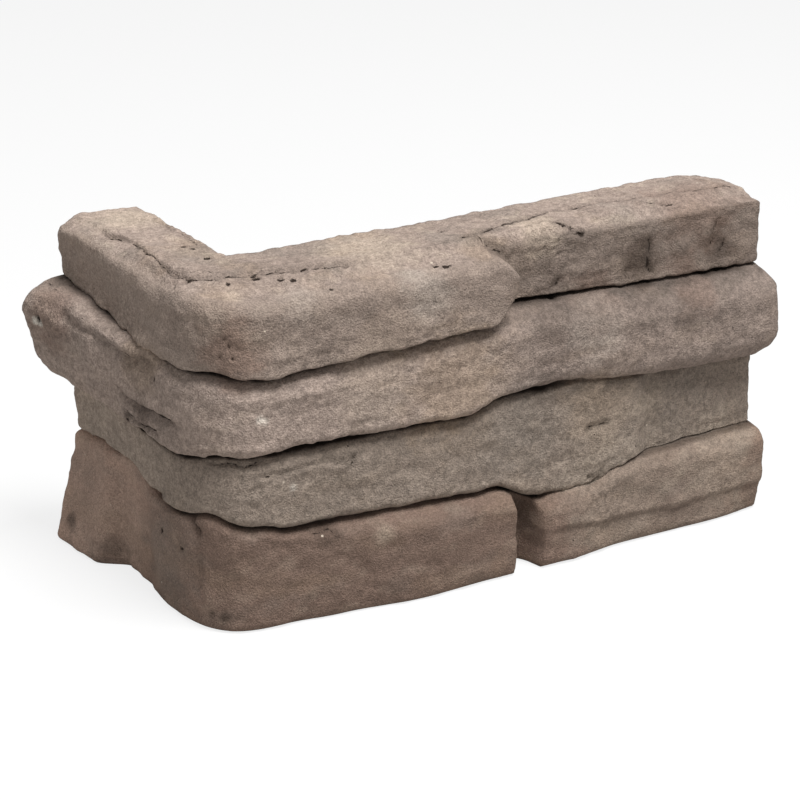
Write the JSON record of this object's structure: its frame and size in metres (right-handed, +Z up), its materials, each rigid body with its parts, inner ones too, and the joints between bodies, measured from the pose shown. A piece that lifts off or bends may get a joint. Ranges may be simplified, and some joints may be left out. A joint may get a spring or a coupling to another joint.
{
  "type": "stone cladding corner piece",
  "caption": "L-shaped cast stone cladding corner with split ledge beds on both faces, flat backs that wrap an outside wall corner and stacking bed faces.",
  "frame": {"origin": "foot of the wall's corner edge, where the two flat backs meet at the underside", "axes": "+X along the long leg, whose back faces +Y; +Y along the return, whose back faces +X; +Z up the wall's corner"},
  "size_m": [0.2093, 0.1006, 0.1022],
  "materials": {
    "cast_stone": "rough, matt, sandy split face"
  },
  "bodies": {
    "root": {"corner_stone": "cast_stone"}
  },
  "joints": []
}
